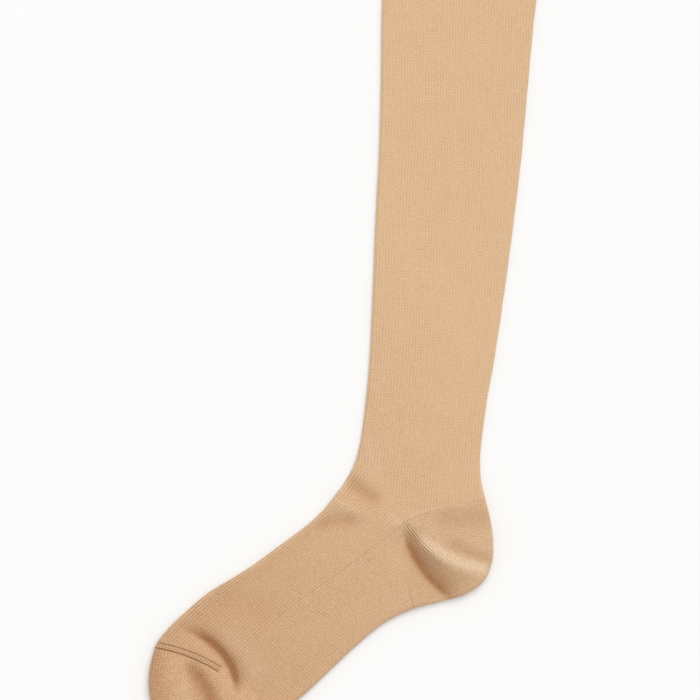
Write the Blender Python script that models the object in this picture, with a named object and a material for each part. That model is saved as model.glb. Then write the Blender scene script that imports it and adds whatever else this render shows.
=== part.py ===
"""Compression stocking, closed toe, below the knee, laid flat on its side.

The stocking is one knitted tube pressed flat: two layers of cloth that turn over at a front
and a back fold.  It is drawn in millimetres on a pattern plane whose origin is the gore
point, where the heel pocket starts at the side of the ankle.  +Y runs up the leg, +X runs
towards the calf and +Z is up from the surface that the stocking lies on.  Every knitted row
leaves the gore wale, turns over a fold and comes back below, so each panel is a loft of such
rows.  At the end everything moves so that the origin is the bottom centre of the box.
"""
import math
from collections import namedtuple

import bmesh
import bpy

MM = 0.001
SHARP_ANGLE = 50.0        # degrees: a cut edge of the cloth is sharper than this

# Cloth, in millimetres
LEG_WALL = 1.2            # ribbed compression knit, relaxed
SOLE_WALL = 1.3
POCKET_WALL = 1.35        # reinforced heel and toe
BAND_WALL = 1.5
RIB_RELIEF = 0.35         # how far a rib stands above the groove beside it
SEAM_GAP = 0.3            # between neighbouring panels
FLAT = 3.2                # two layers pressed together
BAND_FLAT = 4.0
LEG_EDGE = 1.6            # radius of the folds of the straight leg
BAND_EDGE = 2.0
THINNEST = 3.0            # lowest that a trough may press the two layers
HOLLOW = 3.4              # most room left between the two walls

# Ribs on the upper side, between each fold and the gore wale; the cloth below stays plain
FRONT_RIBS = 20
BACK_RIBS = 28
FOLD_STOPS = 6            # points round a fold, half a rib apart
RIBBED_STOPS = 4          # of those, how many the ribs reach before they fade out

BAND_DEPTH = 40.0
BAND_PROUD_FRONT = 0.4    # how far the thicker band stands out past the leg
BAND_PROUD_BACK = 0.6

# Points along a half row of a smooth surface: on top, round the fold and below
Stops = namedtuple("Stops", "above around below")
LEG_INSIDE_FRONT = Stops(6, 4, 3)
LEG_INSIDE_BACK = Stops(8, 4, 5)
BAND_OUTSIDE_FRONT = Stops(6, 6, 3)
BAND_OUTSIDE_BACK = Stops(10, 6, 5)
BAND_INSIDE_FRONT = Stops(5, 4, 3)
BAND_INSIDE_BACK = Stops(8, 4, 5)
SOLE_OUTSIDE = Stops(10, 6, 4)
SOLE_INSIDE = Stops(5, 4, 4)
HEEL_OUTSIDE = Stops(14, 6, 4)
HEEL_INSIDE = Stops(7, 4, 4)
TOE_OUTSIDE = Stops(12, 6, 4)
TOE_INSIDE = Stops(6, 4, 4)
BAND_STEPS = 3            # rows up the band
LEG_STEPS = 2             # rows worked out for each row of the ankle and foot tables
HEEL_STEPS = 3
TOE_STEPS = 2

# Rows of the straight leg, from the top: height over the gore point, and how far the front
# and back folds lie from it
Leg = namedtuple("Leg", "height front back")
LEG = [
    Leg(322.0, -27.0, 65.4),
    Leg(300.0, -26.7, 63.9),
    Leg(260.0, -25.3, 62.1),
    Leg(220.0, -24.5, 60.3),
    Leg(180.0, -24.7, 57.4),
    Leg(140.0, -24.4, 54.0),
    Leg(100.0, -24.3, 49.9),
]
WALE_SHARE = FRONT_RIBS / (FRONT_RIBS + BACK_RIBS)    # where the gore wale lies across the leg

# Rows of the ankle: they swing round from level to the start of the instep in front and to
# the top of the heel pocket behind, where the row also arches upwards (a bow below zero)
Ankle = namedtuple(
    "Ankle", "wale_x wale_y front_x front_y back_x back_y front_edge back_edge back_bow"
)
ANKLE = [
    Ankle(4.7, 72.0, -25.4, 72.0, 46.3, 72.0, 1.6, 1.6, 0.0),
    Ankle(2.4, 45.0, -27.2, 49.0, 44.4, 47.0, 1.6, 1.7, 0.0),
    Ankle(0.9, 27.0, -30.1, 34.9, 44.4, 35.5, 1.7, 2.0, -0.4),
    Ankle(0.2, 12.0, -35.0, 23.9, 45.9, 24.8, 1.8, 2.5, -1.3),
    Ankle(0.0, 0.0, -39.4, 16.8, 48.8, 15.6, 1.9, 3.0, -2.4),
]

# Rows of the foot, from the ankle to the toe: place on the gore wale, place on the fold,
# and radius of that fold
Foot = namedtuple("Foot", "wale_x wale_y fold_x fold_y edge")
INSTEP = [
    Foot(0.0, 0.0, -39.4, 16.8, 1.9),
    Foot(-19.0, -17.0, -53.5, -1.1, 1.9),
    Foot(-43.0, -36.9, -78.0, -21.5, 1.9),
    Foot(-54.5, -45.6, -90.2, -31.2, 1.9),
    Foot(-66.0, -54.8, -102.5, -39.7, 1.9),
    Foot(-77.0, -65.0, -114.8, -48.0, 2.0),
    Foot(-88.0, -75.8, -126.6, -58.9, 2.2),
    Foot(-96.5, -84.8, -136.6, -69.4, 2.6),
    Foot(-104.9, -93.2, -144.3, -80.2, 3.0),
]
SOLE = [
    Foot(-6.2, -5.6, 8.8, -51.4, 3.0),
    Foot(-24.0, -21.3, -8.4, -60.9, 2.5),
    Foot(-43.0, -36.9, -23.4, -74.2, 2.2),
    Foot(-66.0, -54.8, -38.9, -90.1, 2.2),
    Foot(-84.0, -71.9, -54.7, -106.3, 2.5),
    Foot(-99.5, -87.9, -71.7, -120.4, 3.2),
]

# Outline of each fanned pocket: direction in degrees and reach from the point that its rows
# turn about, which is the gore point for the heel and the end of the gore wale for the toe,
# radius of the fold, and how far the row bows to the right of its way out
Fan = namedtuple("Fan", "angle reach edge bow")
HEEL = [
    Fan(17.7, 51.2, 3.0, -2.4),
    Fan(5.0, 52.3, 3.1, -1.0),
    Fan(-8.8, 55.1, 3.2, 0.0),
    Fan(-20.6, 58.3, 3.2, 0.0),
    Fan(-33.2, 60.0, 3.2, 0.0),
    Fan(-46.0, 57.3, 3.2, 0.0),
    Fan(-62.0, 52.6, 3.1, 0.0),
    Fan(-80.3, 52.2, 3.0, 0.0),
]
TOE_SEAM_BOW = 2.0
TOE = [
    Fan(-39.3, 43.2, 3.2, 0.0),
    Fan(-56.0, 40.2, 3.4, 0.0),
    Fan(-76.0, 40.6, 3.6, 0.0),
    Fan(-98.0, 43.2, 3.6, 0.0),
    Fan(-119.0, 46.6, 3.6, 0.0),
    Fan(-136.0, 47.7, 3.6, 0.0),
    Fan(-152.0, 46.1, 3.5, 0.3),
    Fan(-169.0, 43.8, 3.4, 1.0),
    Fan(-184.0, 42.1, 3.2, 1.8),
    Fan(-193.0, 41.6, 3.0, TOE_SEAM_BOW),
    Fan(-198.3, 41.5, 3.0, TOE_SEAM_BOW),
]

# Where the cloth stands up from its pressed height: centre, radius and rise
Puff = namedtuple("Puff", "name x y radius rise")
PUFFS = [
    Puff("heel", 31.0, -17.0, 25.0, 2.8),
    Puff("toe", -120.0, -102.0, 24.0, 3.0),
    Puff("ball of the foot", -78.0, -86.0, 26.0, 1.6),
    Puff("instep", -75.0, -38.0, 24.0, 0.8),
    Puff("ankle", -18.0, 10.0, 16.0, 0.8),
]

# The largest folds: each is a soft trough or ridge along a curve from start to end that
# leans towards a middle point
Fold = namedtuple("Fold", "name start middle end height width")
FOLDS = [
    Fold("heel trough", (1.0, -6.0), (6.0, -28.0), (36.0, -45.0), -3.0, 5.5),
    Fold("heel ridge", (5.0, -7.0), (25.0, -27.5), (54.0, -29.0), 2.2, 6.5),
    Fold("heel hollow", (16.0, -7.0), (30.0, -16.5), (52.0, -16.0), -1.3, 5.0),
    Fold("upper ankle crease", (-36.0, 30.0), (-28.5, 17.0), (-12.0, 9.0), -1.2, 5.0),
    Fold("ankle bulge", (-47.0, 12.0), (-31.0, 5.5), (-18.0, 0.0), 1.1, 5.0),
    Fold("lower ankle crease", (-53.0, -9.5), (-41.0, -1.5), (-26.0, 0.0), -0.9, 4.5),
    Fold("foot hollow", (-96.0, -42.0), (-86.0, -50.0), (-76.0, -56.0), -0.8, 10.0),
    Fold("toe trough", (-124.5, -70.5), (-99.8, -82.5), (-94.5, -106.0), -2.4, 4.5),
    Fold("toe dimple", (-123.0, -91.0), (-118.0, -102.0), (-111.0, -118.0), -2.2, 5.5),
    Fold("toe seam", (-144.3, -80.2), (-123.4, -82.9), (-104.9, -93.2), 0.5, 1.5),
]
FOLD_SAMPLES = 10
FOLD_FADE = 0.02          # share of a half wave that a fold has already risen at its ends

Material = namedtuple("Material", "colour roughness")
MATERIALS = {
    "top_band": Material((0.700, 0.470, 0.275), 0.85),
    "leg": Material((0.725, 0.490, 0.295), 0.88),
    "heel": Material((0.660, 0.425, 0.245), 0.90),
    "sole": Material((0.650, 0.420, 0.240), 0.90),
    "toe": Material((0.600, 0.375, 0.205), 0.90),
}

# One half of a knitted row: where it leaves the gore wale, the fold it turns over, the
# radius of that fold, the wall, the pressed height and how far the row bows to its right
Half = namedtuple("Half", "wale fold edge wall flat bow")


def between(first, second, share):
    """The point or value a share of the way from first to second."""
    return [a + (b - a) * share for a, b in zip(first, second)]


def smooth_rows(rows, parts):
    """Rows of a table with more rows worked out between them on a smooth curve."""
    kind = type(rows[0])
    padded = [rows[0]] + list(rows) + [rows[-1]]
    result = []
    for before, start, end, after in zip(padded, padded[1:], padded[2:], padded[3:]):
        for part in range(parts):
            t = part / parts
            result.append(kind(*(
                0.5 * (2 * b + (c - a) * t + (2 * a - 5 * b + 4 * c - d) * t * t
                       + (3 * b - a - 3 * c + d) * t ** 3)
                for a, b, c, d in zip(before, start, end, after)
            )))
    result.append(rows[-1])
    return result


def curve_point(fold, t):
    """A point on a fold's curve."""
    return between(between(fold.start, fold.middle, t), between(fold.middle, fold.end, t), t)


FOLD_LINES = [
    (fold, [curve_point(fold, i / FOLD_SAMPLES) for i in range(FOLD_SAMPLES + 1)])
    for fold in FOLDS
]


def fold_height(fold, line, x, y):
    """How far a fold lifts or presses the cloth at a place, fading out at its two ends."""
    nearest = math.inf
    place = 0.0
    for i, (a, b) in enumerate(zip(line, line[1:])):
        ax, ay = b[0] - a[0], b[1] - a[1]
        t = ((x - a[0]) * ax + (y - a[1]) * ay) / (ax * ax + ay * ay)
        t = min(max(t, 0.0), 1.0)
        distance = math.hypot(x - a[0] - ax * t, y - a[1] - ay * t)
        if distance < nearest:
            nearest = distance
            place = (i + t) / FOLD_SAMPLES
    wave = math.sin(math.pi * (FOLD_FADE + (1.0 - 2.0 * FOLD_FADE) * place))
    return fold.height * math.sqrt(wave) * math.exp(-((nearest / fold.width) ** 2))


def top_height(x, y, flat):
    """Height of the upper surface over a place on the pattern plane."""
    height = flat
    for puff in PUFFS:
        away = math.hypot(x - puff.x, y - puff.y) / puff.radius
        height += puff.rise * math.exp(-away * away)
    for fold, line in FOLD_LINES:
        height += fold_height(fold, line, x, y)
    return max(height, THINNEST)


def row_point(half, along, depth):
    """The point a distance along a half row: out on top, over the fold and back below.

    depth is how far inside the outer surface the point lies; a rib's is below zero.  The
    pressed height at the gore wale grows to the fold's own round height.
    """
    span = math.dist(half.wale, half.fold)
    level = span - half.edge
    turn = min(max((along - level) / half.edge, 0.0), math.pi)
    below = max(along - level - math.pi * half.edge, 0.0)
    out = min(along, level) - below + (half.edge - depth) * math.sin(turn)
    way_x = (half.fold[0] - half.wale[0]) / span
    way_y = (half.fold[1] - half.wale[1]) / span
    sag = half.bow * 4.0 * (out / span) * (1.0 - out / span)
    x = half.wale[0] + way_x * out + way_y * sag
    y = half.wale[1] + way_y * out - way_x * sag
    upper = top_height(x, y, half.flat + (2.0 * half.edge - half.flat) * (out / span) ** 2)
    if depth > 0.0:
        upper = min(upper, 2.0 * half.wall + HOLLOW)
    lift = upper - half.edge if turn < math.pi / 2.0 else half.edge
    return (x, y, half.edge + math.cos(turn) * (lift - depth))


def row_length(half):
    """Length of a half row from the gore wale over the fold to the place below the wale."""
    return 2.0 * (math.dist(half.wale, half.fold) - half.edge) + math.pi * half.edge


def spread(start, end, count):
    """Evenly spaced stops after start, up to and with end."""
    return [start + (end - start) * (i + 1) / count for i in range(count)]


def plain_half(half, depth, stops):
    """Points of a smooth half row at a depth inside the outer surface."""
    level = math.dist(half.wale, half.fold) - half.edge
    turned = level + math.pi * half.edge
    places = [0.0] + spread(0.0, level, stops.above) + spread(level, turned, stops.around)
    places += spread(turned, row_length(half), stops.below)
    return [row_point(half, along, depth) for along in places]


def ribbed_half(half, ribs, below):
    """Outer points of a half row with a crest and a groove for each rib.

    The ribs stand up on top and round the fold, and fade out before the underside.
    """
    level = math.dist(half.wale, half.fold) - half.edge
    turned = level + math.pi * half.edge
    points = []
    for i in range(2 * ribs + 1):
        points.append(row_point(half, level * i / (2 * ribs), -RIB_RELIEF * (i % 2)))
    for i, along in enumerate(spread(level, turned, FOLD_STOPS), 1):
        relief = RIB_RELIEF * (i % 2) if i < RIBBED_STOPS else 0.0
        points.append(row_point(half, along, -relief))
    points += [row_point(half, along, 0.0) for along in spread(turned, row_length(half), below)]
    return points


def ring(front, back):
    """A whole row from below the gore wale: front fold, gore wale, back fold."""
    return front[::-1] + back[1:-1]


class Panel:
    """One knitted panel: a closed wall between outer rows and inner rows."""

    def __init__(self, name):
        self.name = name
        self.points = []
        self.faces = []
        self.known = {}

    def number(self, point):
        """The number of a point; rows that start from one place share it."""
        key = tuple(round(value, 4) for value in point)
        if key not in self.known:
            self.known[key] = len(self.points)
            self.points.append(point)
        return self.known[key]

    def add_rows(self, rows):
        """Store the rows' points and give back the numbers that stand for them."""
        return [[self.number(point) for point in row] for row in rows]

    def face(self, *corners):
        """Add a face, which is a triangle where two corners meet and nothing where more do."""
        apart = [corner for i, corner in enumerate(corners) if corner != corners[i - 1]]
        if len(apart) > 2:
            self.faces.append(apart)

    def skin(self, rows, ring_size):
        """Join neighbouring rows; where both have ring_size points, the surface goes all round."""
        for near, far in zip(rows, rows[1:]):
            count = min(len(near), len(far))
            for i in range(count - 1):
                self.face(near[i], near[i + 1], far[i + 1], far[i])
            if count == ring_size:
                self.face(near[-1], near[0], far[0], far[-1])

    def rim(self, outer, inner):
        """Close the edge between the outer and the inner surface, whatever their counts."""
        i = 0
        j = 0
        while i < len(outer) - 1 or j < len(inner) - 1:
            can_outer = i < len(outer) - 1
            can_inner = j < len(inner) - 1
            if can_outer and can_inner:
                across_outer = math.dist(self.points[outer[i + 1]], self.points[inner[j]])
                across_inner = math.dist(self.points[outer[i]], self.points[inner[j + 1]])
                can_outer = across_outer <= across_inner
            if can_outer:
                self.face(outer[i], outer[i + 1], inner[j])
                i += 1
            else:
                self.face(outer[i], inner[j + 1], inner[j])
                j += 1


def strip_panel(name, outer_rows, inner_rows):
    """A panel folded over one edge: open at both ends and along the gore wale."""
    panel = Panel(name)
    outer = panel.add_rows(outer_rows)
    inner = panel.add_rows(inner_rows)
    panel.skin(outer, 0)
    panel.skin(inner, 0)
    for outer_row, inner_row in ((outer[0], inner[0]), (outer[-1], inner[-1])):
        panel.rim(outer_row, inner_row)
    for end in (0, -1):
        panel.rim([row[end] for row in outer], [row[end] for row in inner])
    return panel


def tube_panel(name, outer_rows, inner_rows):
    """A panel that goes all round: open at both ends."""
    panel = Panel(name)
    outer = panel.add_rows(outer_rows)
    inner = panel.add_rows(inner_rows)
    panel.skin(outer, len(outer_rows[0]))
    panel.skin(inner, len(inner_rows[0]))
    for end in (0, -1):
        panel.rim(outer[end] + outer[end][:1], inner[end] + inner[end][:1])
    return panel


def leg_wale(row):
    """Where the gore wale crosses a row of the straight leg."""
    return row.front + (row.back - row.front) * WALE_SHARE


def leg_sections():
    """The two halves of every row of the leg, from the band to the heel pocket."""
    sections = []
    for row in LEG:
        wale = (leg_wale(row), row.height)
        front = Half(wale, (row.front, row.height), LEG_EDGE, LEG_WALL, FLAT, 0.0)
        back = Half(wale, (row.back, row.height), LEG_EDGE, LEG_WALL, FLAT, 0.0)
        sections.append((front, back))
    for row in smooth_rows(ANKLE, LEG_STEPS):
        wale = (row.wale_x, row.wale_y)
        front_fold = (row.front_x, row.front_y)
        back_fold = (row.back_x, row.back_y)
        front = Half(wale, front_fold, row.front_edge, LEG_WALL, FLAT, 0.0)
        back = Half(wale, back_fold, row.back_edge, LEG_WALL, FLAT, row.back_bow)
        sections.append((front, back))
    return sections


def instep_halves():
    """Rows of the ribbed upper foot, from the ankle to the toe seam."""
    rows = smooth_rows(INSTEP, LEG_STEPS)[1:]
    halves = []
    for i, row in enumerate(rows):
        bow = TOE_SEAM_BOW * (i + 1) / len(rows)
        wale = (row.wale_x, row.wale_y)
        halves.append(Half(wale, (row.fold_x, row.fold_y), row.edge, LEG_WALL, FLAT, bow))
    return halves


def leg_panel():
    """The ribbed tube of the leg, which runs on as the ribbed upper half of the foot."""
    outer_rows = []
    inner_rows = []
    for front, back in leg_sections():
        ribbed_front = ribbed_half(front, FRONT_RIBS, LEG_INSIDE_FRONT.below)
        ribbed_back = ribbed_half(back, BACK_RIBS, LEG_INSIDE_BACK.below)
        outer_rows.append(ring(ribbed_front, ribbed_back))
        plain_front = plain_half(front, LEG_WALL, LEG_INSIDE_FRONT)
        plain_back = plain_half(back, LEG_WALL, LEG_INSIDE_BACK)
        inner_rows.append(ring(plain_front, plain_back))
    ankle = len(outer_rows) - 1
    for half in instep_halves():
        outer_rows.append(ribbed_half(half, FRONT_RIBS, LEG_INSIDE_FRONT.below)[::-1])
        inner_rows.append(plain_half(half, LEG_WALL, LEG_INSIDE_FRONT)[::-1])
    panel = Panel("leg")
    outer = panel.add_rows(outer_rows)
    inner = panel.add_rows(inner_rows)
    panel.skin(outer, len(outer_rows[0]))
    panel.skin(inner, len(inner_rows[0]))
    outer_wale = len(outer_rows[-1]) - 1
    inner_wale = len(inner_rows[-1]) - 1
    panel.rim(outer[0] + outer[0][:1], inner[0] + inner[0][:1])
    heel_line = outer[ankle][outer_wale:] + outer[ankle][:1]
    panel.rim(heel_line, inner[ankle][inner_wale:] + inner[ankle][:1])
    panel.rim([row[outer_wale] for row in outer[ankle:]], [row[inner_wale] for row in inner[ankle:]])
    panel.rim([row[0] for row in outer[ankle:]], [row[0] for row in inner[ankle:]])
    panel.rim(outer[-1], inner[-1])
    return panel


def band_panel():
    """The plain double band that finishes the top of the leg."""
    top = LEG[0]
    start = top.height + SEAM_GAP
    outer_rows = []
    inner_rows = []
    for height in [start] + spread(start, top.height + BAND_DEPTH, BAND_STEPS):
        wale = (leg_wale(top), height)
        front_fold = (top.front - BAND_PROUD_FRONT, height)
        back_fold = (top.back + BAND_PROUD_BACK, height)
        front = Half(wale, front_fold, BAND_EDGE, BAND_WALL, BAND_FLAT, 0.0)
        back = Half(wale, back_fold, BAND_EDGE, BAND_WALL, BAND_FLAT, 0.0)
        outer_front = plain_half(front, 0.0, BAND_OUTSIDE_FRONT)
        outer_rows.append(ring(outer_front, plain_half(back, 0.0, BAND_OUTSIDE_BACK)))
        inner_front = plain_half(front, BAND_WALL, BAND_INSIDE_FRONT)
        inner_rows.append(ring(inner_front, plain_half(back, BAND_WALL, BAND_INSIDE_BACK)))
    return tube_panel("top_band", outer_rows, inner_rows)


def step_on(half, distance):
    """Both ends of a half row moved sideways, to the right of its way out."""
    span = math.dist(half.wale, half.fold)
    step_x = (half.fold[1] - half.wale[1]) / span * distance
    step_y = -(half.fold[0] - half.wale[0]) / span * distance
    wale = (half.wale[0] + step_x, half.wale[1] + step_y)
    fold = (half.fold[0] + step_x, half.fold[1] + step_y)
    return wale, fold


def gap_from_wale(x, y):
    """A place beside the gore wale of the foot, clear of the instep by the seam gap."""
    start, end = INSTEP[0], INSTEP[-1]
    run = math.dist(start[:2], end[:2])
    step_x = -(end.wale_y - start.wale_y) / run * SEAM_GAP
    step_y = (end.wale_x - start.wale_x) / run * SEAM_GAP
    return (x + step_x, y + step_y)


def sole_panel():
    """The plain lower half of the foot."""
    halves = []
    for row in smooth_rows(SOLE, LEG_STEPS):
        wale = gap_from_wale(row.wale_x, row.wale_y)
        halves.append(Half(wale, (row.fold_x, row.fold_y), row.edge, SOLE_WALL, FLAT, 0.0))
    wale, fold = step_on(halves[0], SEAM_GAP)
    halves[0] = halves[0]._replace(wale=wale, fold=fold)
    outer = [plain_half(half, 0.0, SOLE_OUTSIDE) for half in halves]
    inner = [plain_half(half, SOLE_WALL, SOLE_INSIDE) for half in halves]
    return strip_panel("sole", outer, inner)


def polar(centre, angle, reach):
    """The point in a direction from a centre."""
    turn = math.radians(angle)
    return (centre[0] + reach * math.cos(turn), centre[1] + reach * math.sin(turn))


def heel_panel():
    """The heel pocket: rows fan round the gore point, from the leg to the sole."""
    gore = (INSTEP[0].wale_x, INSTEP[0].wale_y)
    end = (SOLE[0].wale_x, SOLE[0].wale_y)
    rows = smooth_rows(HEEL, HEEL_STEPS)
    halves = []
    for i, row in enumerate(rows):
        wale = gap_from_wale(*between(gore, end, i / (len(rows) - 1)))
        fold = polar(gore, row.angle, row.reach)
        halves.append(Half(wale, fold, row.edge, POCKET_WALL, FLAT, row.bow))
    halves[0] = halves[0]._replace(fold=step_on(halves[0], SEAM_GAP)[1])
    outer = [plain_half(half, 0.0, HEEL_OUTSIDE) for half in halves]
    inner = [plain_half(half, POCKET_WALL, HEEL_INSIDE) for half in halves]
    return strip_panel("heel", outer, inner)


def seam_place(share, beyond):
    """A place on the bowed linking seam, from the gore wale to the front fold.

    beyond is how far towards the toe it lies from the seam itself.
    """
    end = INSTEP[-1]
    sag = beyond - TOE_SEAM_BOW * 4.0 * share * (1.0 - share)
    span = math.hypot(end.fold_x - end.wale_x, end.fold_y - end.wale_y)
    way_x = (end.fold_x - end.wale_x) / span
    way_y = (end.fold_y - end.wale_y) / span
    out = span * share
    return (end.wale_x + way_x * out - way_y * sag, end.wale_y + way_y * out + way_x * sag)


def toe_panel():
    """The toe cap: rows fan round the end of the gore wale, from the sole to the seam."""
    sole_end = (SOLE[-1].wale_x, SOLE[-1].wale_y)
    corner = seam_place(0.0, SEAM_GAP)
    rows = smooth_rows(TOE, TOE_STEPS)
    halves = []
    for i, row in enumerate(rows):
        turned = 2.0 * i / (len(rows) - 1)
        wale = gap_from_wale(*between(sole_end, corner, min(turned, 1.0)))
        fold = polar(seam_place(0.0, 0.0), row.angle, row.reach)
        halves.append(Half(wale, fold, row.edge, POCKET_WALL, FLAT, row.bow))
    wale, fold = step_on(halves[0], SEAM_GAP)
    halves[0] = halves[0]._replace(wale=wale, fold=fold)
    halves[-1] = halves[-1]._replace(fold=seam_place(1.0, SEAM_GAP))
    outer = [plain_half(half, 0.0, TOE_OUTSIDE) for half in halves]
    inner = [plain_half(half, POCKET_WALL, TOE_INSIDE) for half in halves]
    return strip_panel("toe", outer, inner)


def cloth_material(name):
    """Knitted cloth in the panel's own colour."""
    material = bpy.data.materials.new(name + "_knit")
    material.use_nodes = True
    surface = material.node_tree.nodes["Principled BSDF"]
    surface.inputs["Base Color"].default_value = (*MATERIALS[name].colour, 1.0)
    surface.inputs["Roughness"].default_value = MATERIALS[name].roughness
    surface.inputs["Metallic"].default_value = 0.0
    return material


def panel_object(panel, centre):
    """Turn a panel into a Blender object, in metres about the centre of the box."""
    mesh = bpy.data.meshes.new(panel.name)
    places = [((x - centre[0]) * MM, (y - centre[1]) * MM, z * MM) for x, y, z in panel.points]
    mesh.from_pydata(places, [], panel.faces)
    shell = bmesh.new()
    shell.from_mesh(mesh)
    bmesh.ops.recalc_face_normals(shell, faces=shell.faces)
    shell.to_mesh(mesh)
    shell.free()
    mesh.shade_smooth()
    mesh.set_sharp_from_angle(angle=math.radians(SHARP_ANGLE))
    mesh.materials.append(cloth_material(panel.name))
    return bpy.data.objects.new(panel.name, mesh)


def main():
    """Build the stocking from the top band to the toe."""
    for item in list(bpy.data.objects):
        bpy.data.objects.remove(item, do_unlink=True)
    panels = [band_panel(), leg_panel(), heel_panel(), sole_panel(), toe_panel()]
    xs = [point[0] for panel in panels for point in panel.points]
    ys = [point[1] for panel in panels for point in panel.points]
    centre = ((min(xs) + max(xs)) / 2.0, (min(ys) + max(ys)) / 2.0)
    collection = bpy.data.collections.new("compression_stocking")
    bpy.context.scene.collection.children.link(collection)
    for panel in panels:
        collection.objects.link(panel_object(panel, centre))


main()
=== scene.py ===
"""Compression stocking, laid flat on its side: the looks of its knitted cloth.

All cloth is drawn in millimetres on a pattern plane whose origin is the gore point, where the
heel pocket starts at the side of the ankle.  +Y runs up the leg, +X towards the calf and +Z up
from the table.  A panel is a loft of half rows: each leaves the gore wale, turns over a fold
and comes back below.  The wales are the loft's columns, so every rib is real relief.
"""

import math
from collections import namedtuple

import bmesh
import bpy
import numpy as np
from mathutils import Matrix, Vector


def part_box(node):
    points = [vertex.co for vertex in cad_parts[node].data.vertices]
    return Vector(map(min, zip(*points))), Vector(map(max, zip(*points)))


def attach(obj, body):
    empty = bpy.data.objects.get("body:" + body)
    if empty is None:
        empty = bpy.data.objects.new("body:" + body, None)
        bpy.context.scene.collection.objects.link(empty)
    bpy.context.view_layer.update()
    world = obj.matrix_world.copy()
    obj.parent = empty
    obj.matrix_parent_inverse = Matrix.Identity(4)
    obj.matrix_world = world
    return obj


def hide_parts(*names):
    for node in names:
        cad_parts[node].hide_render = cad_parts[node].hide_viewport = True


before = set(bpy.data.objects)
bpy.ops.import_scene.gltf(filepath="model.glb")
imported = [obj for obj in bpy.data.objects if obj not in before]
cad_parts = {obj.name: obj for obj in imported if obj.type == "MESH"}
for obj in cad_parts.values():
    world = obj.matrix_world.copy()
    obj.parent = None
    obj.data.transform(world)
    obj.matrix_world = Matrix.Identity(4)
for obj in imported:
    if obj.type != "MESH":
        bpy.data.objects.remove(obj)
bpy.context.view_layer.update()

MM = 0.001

# ---------------------------------------------------------------- sizes, in millimetres

FLAT = 3.2                # two layers of the leg pressed together
BAND_FLAT = 4.0
THINNEST = 1.6            # lowest that a trough presses the two layers
BAND_WALL = 1.5
BAND_DEPTH = 40.0
BAND_EDGE = 2.0
BAND_PROUD_FRONT = 0.4    # how far the thicker band stands out past the leg
BAND_PROUD_BACK = 0.6
LEG_TOP = 322.0           # height of the band's lower edge over the gore point
CLEAR = 0.02              # between the lowest loops and the table
MERGE = 0.001             # points this close are one
TINY = 1e-9

RIB_RELIEF = 0.20         # a rib of the leg over the groove beside it
UNDER_RELIEF = 0.08       # ribs on the side that lies on the table
TUCK = 1.2                # how far a panel runs on below its neighbour
TUCK_DROP = 0.20          # how far it drops there
WALE_DROP = 0.10          # and how far it drops there beside the gore wale
RUN_ON = 0.7              # share of a row's step by which the sole runs on at its ends
TOP_UNTIL = 1.2           # radians over a fold at which the folds' painted shade and painted highlights end
RIB_ROUND = 0.8           # below 1 a rib is fuller and its groove narrower
COURSE = 0.87             # height of one course of stitches

FRONT_WALES = 40          # ribs round the front half of the leg, above and below
BACK_WALES = 66
POCKET_WALES = 70         # wales round the heel, the sole and the toe

# Rows of the straight leg: height over the gore point, how far its folds lie from it, and the
# pitch of the ribs behind the gore wale
WALE_FROM_FRONT = 30.0
LEG_EDGE = 1.6
FRONT_PITCH = 1.80
Leg = namedtuple("Leg", "height front back pitch")
LEG = [
    Leg(322.0, -27.0, 65.4, 1.76),
    Leg(300.0, -26.7, 63.9, 1.76),
    Leg(260.0, -25.3, 62.1, 1.76),
    Leg(220.0, -24.5, 60.3, 1.77),
    Leg(180.0, -24.7, 57.4, 1.78),
    Leg(140.0, -24.4, 54.0, 1.75),
    Leg(100.0, -24.3, 49.9, 1.68),
]

# Rows from the ankle to the start of the heel: they swing round to the instep and the pocket
Ankle = namedtuple(
    "Ankle",
    "wale_x wale_y front_x front_y back_x back_y front_edge back_edge front_pitch back_pitch bow",
)
ANKLE = [
    Ankle(4.7, 72.0, -25.4, 72.0, 46.3, 72.0, 1.6, 1.6, 1.82, 1.65, 0.0),
    Ankle(2.4, 45.0, -27.2, 49.0, 44.4, 47.0, 1.6, 1.7, 1.86, 1.72, 0.0),
    Ankle(0.9, 27.0, -30.1, 34.9, 44.4, 35.5, 1.7, 2.0, 1.90, 1.80, -0.4),
    Ankle(0.2, 12.0, -35.0, 23.9, 45.9, 24.8, 1.8, 2.5, 1.95, 1.86, -1.3),
    Ankle(0.0, 0.0, -39.4, 16.8, 48.8, 15.6, 1.9, 3.0, 1.95, 1.92, -2.4),
]

# Rows of the foot: place on the gore wale, place on the fold, radius of that fold, pitch
Foot = namedtuple("Foot", "wale_x wale_y fold_x fold_y edge pitch")
INSTEP = [
    Foot(-19.0, -17.0, -53.5, -1.1, 1.9, 1.90),
    Foot(-43.0, -36.9, -78.0, -21.5, 1.9, 1.88),
    Foot(-54.5, -45.6, -90.2, -31.2, 1.9, 1.90),
    Foot(-66.0, -54.8, -102.5, -39.7, 1.9, 1.93),
    Foot(-77.0, -65.0, -114.8, -48.0, 2.0, 1.95),
    Foot(-88.0, -75.8, -126.6, -58.9, 2.2, 1.97),
    Foot(-96.5, -84.8, -136.6, -69.4, 2.6, 1.97),
    Foot(-104.9, -93.2, -144.3, -80.2, 3.0, 1.92),
]
SOLE = [
    Foot(-6.2, -5.6, 8.8, -51.4, 3.0, 1.75),
    Foot(-24.0, -21.3, -8.4, -60.9, 2.5, 1.75),
    Foot(-43.0, -36.9, -23.4, -74.2, 2.2, 1.75),
    Foot(-66.0, -54.8, -38.9, -90.1, 2.2, 1.75),
    Foot(-84.0, -71.9, -54.7, -106.3, 2.5, 1.75),
    Foot(-99.5, -87.9, -71.7, -120.4, 3.2, 1.75),
]

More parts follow.
